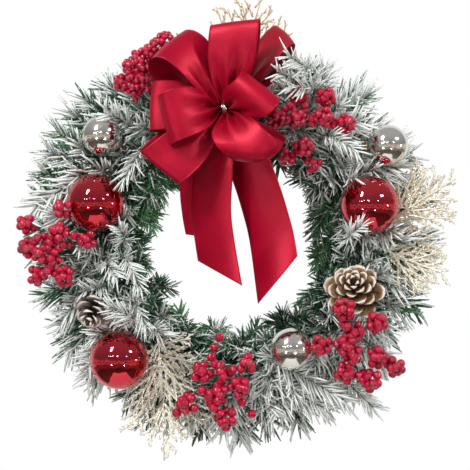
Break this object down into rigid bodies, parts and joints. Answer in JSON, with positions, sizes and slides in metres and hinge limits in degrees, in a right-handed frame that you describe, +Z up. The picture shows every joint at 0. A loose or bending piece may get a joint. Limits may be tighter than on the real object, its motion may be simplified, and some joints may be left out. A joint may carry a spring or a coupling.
{
  "type": "christmas wreath",
  "caption": "Hanging ring of flocked artificial pine with a satin bow and tails, baubles, berry picks, pine cones and glittered cedar sprays.",
  "frame": {"origin": "the hanging point: the underside of the ring wire at the top of the ring, where a hook or nail bears", "axes": "+Z up; the wreath lies in the XZ plane and faces -Y, with the bow at the top"},
  "size_m": [0.4738, 0.1544, 0.5035],
  "materials": {
    "steel_wire": "dark green lacquered steel wire",
    "flocked_pine": "dark green PVC needles with white flocking on their outer ends",
    "red_lacquer": "mirror-bright red lacquer on a plastic ball",
    "silver_lacquer": "mirror-bright silver coating on a plastic ball",
    "cap_metal": "thin bright metal and silver wire",
    "berry_red": "glossy red lacquered berries on wire stems",
    "cone_brown": "dry woody scales with white-painted lips",
    "cedar_gold": "cream plastic twigs with gold glitter",
    "red_satin": "red satin ribbon with wired edges"
  },
  "bodies": {
    "root": {"bauble_cap_red_left": "cap_metal", "bauble_cap_red_low": "cap_metal", "bauble_cap_red_right": "cap_metal", "bauble_cap_silver_left": "cap_metal", "bauble_cap_silver_low": "cap_metal", "bauble_cap_silver_right": "cap_metal", "bauble_red_left": "red_lacquer", "bauble_red_low": "red_lacquer", "bauble_red_right": "red_lacquer", "bauble_silver_left": "silver_lacquer", "bauble_silver_low": "silver_lacquer", "bauble_silver_right": "silver_lacquer", "berries_bottom": "berry_red", "berries_left": "berry_red", "berries_right": "berry_red", "berries_top_left": "berry_red", "berries_top_right": "berry_red", "bow_loops": "red_satin", "bow_tails": "red_satin", "bow_tie": "cap_metal", "branch_01": "flocked_pine", "branch_02": "flocked_pine", "branch_03": "flocked_pine", "branch_04": "flocked_pine", "branch_05": "flocked_pine", "branch_06": "flocked_pine", "branch_07": "flocked_pine", "branch_08": "flocked_pine", "branch_09": "flocked_pine", "branch_10": "flocked_pine", "branch_11": "flocked_pine", "branch_12": "flocked_pine", "branch_13": "flocked_pine", "branch_14": "flocked_pine", "branch_15": "flocked_pine", "cedar_bottom": "cedar_gold", "cedar_right_high": "cedar_gold", "cedar_right_low": "cedar_gold", "cedar_top": "cedar_gold", "cone_left": "cone_brown", "cone_right": "cone_brown", "cone_wire_left": "steel_wire", "cone_wire_right": "steel_wire", "ring_wire": "steel_wire"}
  },
  "joints": []
}
